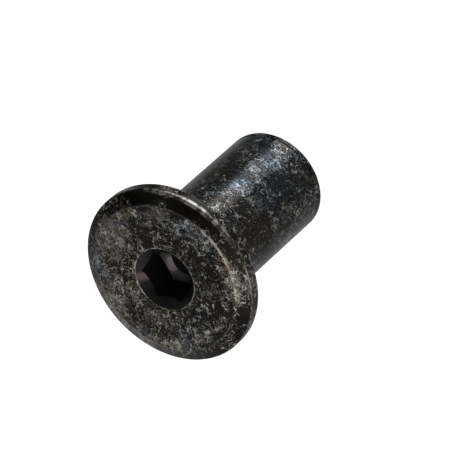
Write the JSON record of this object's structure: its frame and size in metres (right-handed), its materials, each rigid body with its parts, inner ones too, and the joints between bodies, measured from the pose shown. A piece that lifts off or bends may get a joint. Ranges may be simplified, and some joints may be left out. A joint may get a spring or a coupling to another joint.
{
  "type": "binding barrel nut",
  "caption": "Plain steel barrel with a wide bevelled head, a hexagon socket in the face and a blind threaded bore, for clamping two panels together.",
  "frame": {"origin": "on the axis, at the open end of the barrel", "axes": "+Z along the axis from the barrel's open end to the head's face; +X thirteen degrees from the middle of a flat of the socket"},
  "size_m": [0.015, 0.015, 0.0168],
  "materials": {
    "blackened_steel": "black oxide, tumbled and scuffed"
  },
  "bodies": {
    "root": {"barrel_nut": "blackened_steel"}
  },
  "joints": []
}
